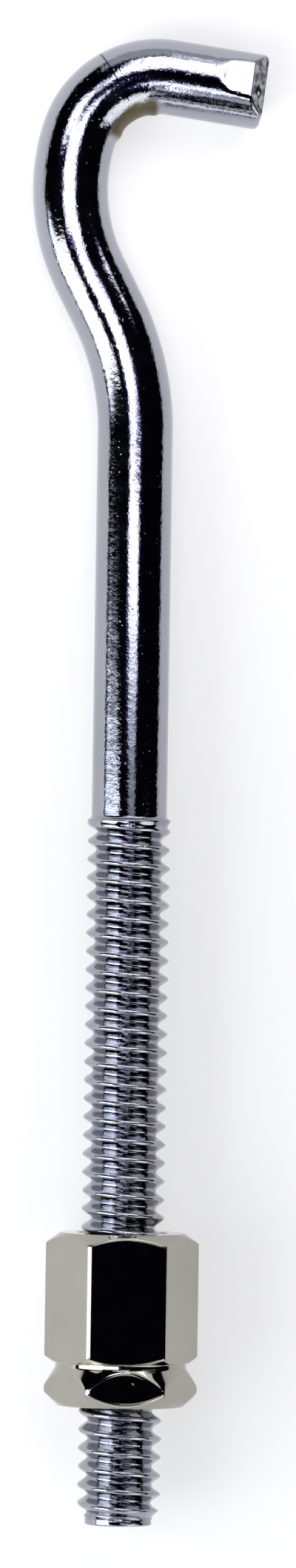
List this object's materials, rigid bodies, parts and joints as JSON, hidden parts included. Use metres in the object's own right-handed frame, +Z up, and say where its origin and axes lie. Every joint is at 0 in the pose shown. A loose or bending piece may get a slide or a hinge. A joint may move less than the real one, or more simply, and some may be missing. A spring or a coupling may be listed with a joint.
{
  "type": "hook bolt with hexagon nut",
  "caption": "Plated steel rod with an offset hook at one end and a long threaded end that carries a long hexagon nut with a collar.",
  "frame": {"origin": "under the middle of the whole part's box, on the surface that it lies on", "axes": "+Y along the rod from the threaded tip to the hook, +X the way the hook opens, +Z up from the surface. The rod's own axis dips by 1.46 degrees towards the hook, because the nut is thicker than the rod."},
  "size_m": [0.0134, 0.0856, 0.008],
  "materials": {
    "rod_plating": "bright plated rolled steel rod, with fine pits and scratches",
    "nut_plating": "bright plated turned hexagon bar"
  },
  "bodies": {
    "bolt": {"hook_bolt": "rod_plating"},
    "nut": {"hex_nut": "nut_plating"}
  },
  "joints": [
    {"name": "nut_travel", "type": "slide", "parent": "bolt", "child": "nut", "axis": [0, 0.9997, -0.0255], "range_m": [-0.00686, 0.0233]}
  ]
}
